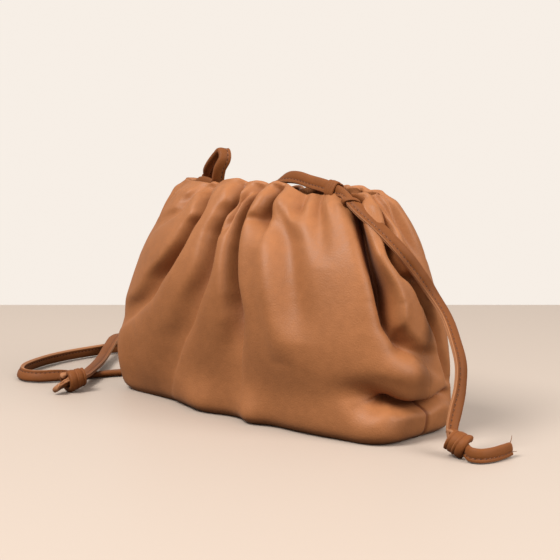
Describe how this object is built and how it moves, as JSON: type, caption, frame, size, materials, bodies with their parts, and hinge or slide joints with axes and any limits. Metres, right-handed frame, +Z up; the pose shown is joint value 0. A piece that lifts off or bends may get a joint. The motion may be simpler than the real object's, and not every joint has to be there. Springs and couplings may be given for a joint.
{
  "type": "gathered pouch handbag",
  "caption": "Soft leather pouch handbag with a gathered open mouth, deep drape folds, a flat oblong base, and narrow folded straps that end in knots.",
  "frame": {"origin": "middle of the base, on the surface that the bag rests on", "axes": "+X along the bag towards the end with the keeper and the hanging strap, +Y from front to back, +Z up towards the mouth"},
  "size_m": [0.4247, 0.1835, 0.1642],
  "materials": {
    "body_leather": "soft satin tan leather with a fine grain",
    "strap_leather": "folded and stitched satin tan leather, slightly darker"
  },
  "bodies": {
    "root": {"front_panel": "body_leather", "back_panel": "body_leather", "near_strap": "strap_leather", "near_keeper": "strap_leather", "near_anchor_loop": "strap_leather", "near_end_knot": "strap_leather", "near_tail": "strap_leather", "far_strap": "strap_leather", "far_anchor_loop": "strap_leather", "far_end_knot": "strap_leather", "far_tail": "strap_leather"}
  },
  "joints": []
}
